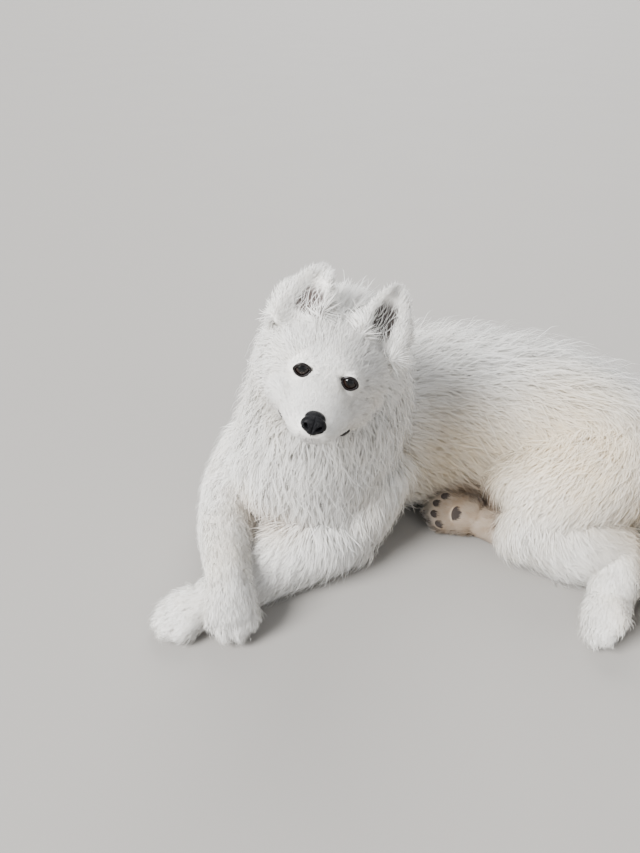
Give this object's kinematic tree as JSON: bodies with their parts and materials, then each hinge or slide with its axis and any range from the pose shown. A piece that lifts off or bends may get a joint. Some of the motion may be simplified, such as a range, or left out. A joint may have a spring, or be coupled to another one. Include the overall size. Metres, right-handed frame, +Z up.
{
  "type": "samoyed puppy",
  "caption": "Samoyed puppy lying on its breast with crossed forelegs, head raised, still life-size model",
  "frame": {"origin": "on the floor at the flat under the breastbone", "axes": "+Z up, +X from breast to rump, -Y to the puppy's left side, where its face looks"},
  "size_m": [0.785, 0.4949, 0.4409],
  "materials": {
    "coat": "matte",
    "nose_leather": "satin",
    "claw": "satin",
    "eye": "gloss"
  },
  "bodies": {
    "root": {"claw_forepaw_left_1": "claw", "claw_forepaw_left_2": "claw", "claw_forepaw_left_3": "claw", "claw_forepaw_left_4": "claw", "claw_forepaw_right_1": "claw", "claw_forepaw_right_2": "claw", "claw_forepaw_right_3": "claw", "claw_forepaw_right_4": "claw", "claw_hindpaw_left_1": "claw", "claw_hindpaw_left_2": "claw", "claw_hindpaw_left_3": "claw", "claw_hindpaw_left_4": "claw", "claw_hindpaw_right_1": "claw", "claw_hindpaw_right_2": "claw", "claw_hindpaw_right_3": "claw", "claw_hindpaw_right_4": "claw", "ear_left": "coat", "ear_right": "coat", "eye_left": "eye", "eye_right": "eye", "foreleg_left": "coat", "foreleg_right": "coat", "forepaw_left": "coat", "forepaw_right": "coat", "head": "coat", "hindleg_left": "coat", "hindleg_right": "coat", "hindpaw_left": "coat", "hindpaw_right": "coat", "neck": "coat", "nose": "nose_leather", "tail": "coat", "torso": "coat"}
  },
  "joints": []
}
